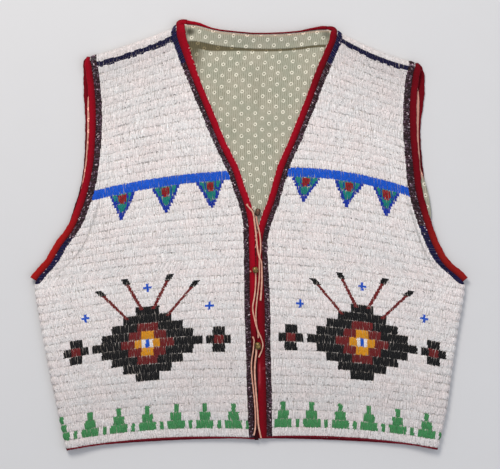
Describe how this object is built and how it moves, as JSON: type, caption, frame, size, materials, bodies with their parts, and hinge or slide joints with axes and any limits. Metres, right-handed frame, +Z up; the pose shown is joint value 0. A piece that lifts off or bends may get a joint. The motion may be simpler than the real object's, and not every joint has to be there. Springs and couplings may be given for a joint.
{
  "type": "beaded vest",
  "caption": "Fully beaded hide vest laid flat, white lane-stitched beads with a blue band, red wool bindings, printed lining and thong ties at the front.",
  "frame": {"origin": "centre of the footprint, on the surface that the vest lies on", "axes": "+Z up from the surface, +Y from hem to neck, +X to the viewer's right when the fronts are seen from above"},
  "size_m": [0.5621, 0.5576, 0.0147],
  "materials": {
    "beadwork": "glass seed beads sewn on hide, slightly glossy",
    "wool_binding": "matt wool cloth",
    "hem_binding": "matt wool cloth",
    "lining": "printed cotton",
    "thong": "soft tanned hide lace",
    "tie_bead": "dulled brass"
  },
  "bodies": {
    "root": {"front_left": "beadwork", "front_right": "beadwork", "back_panel": "beadwork", "binding_front_left": "wool_binding", "binding_front_right": "wool_binding", "binding_back_neck": "wool_binding", "binding_armhole_front_left": "wool_binding", "binding_armhole_front_right": "wool_binding", "binding_armhole_back_left": "wool_binding", "binding_armhole_back_right": "wool_binding", "binding_hem_left": "hem_binding", "binding_hem_right": "hem_binding", "binding_hem_back": "hem_binding", "thong_upper_a": "thong", "thong_upper_b": "thong", "thong_middle": "thong", "thong_lower_a": "thong", "thong_lower_b": "thong", "tie_bead_upper": "tie_bead", "tie_bead_middle": "tie_bead", "tie_bead_lower": "tie_bead", "back_lining": "lining"}
  },
  "joints": []
}
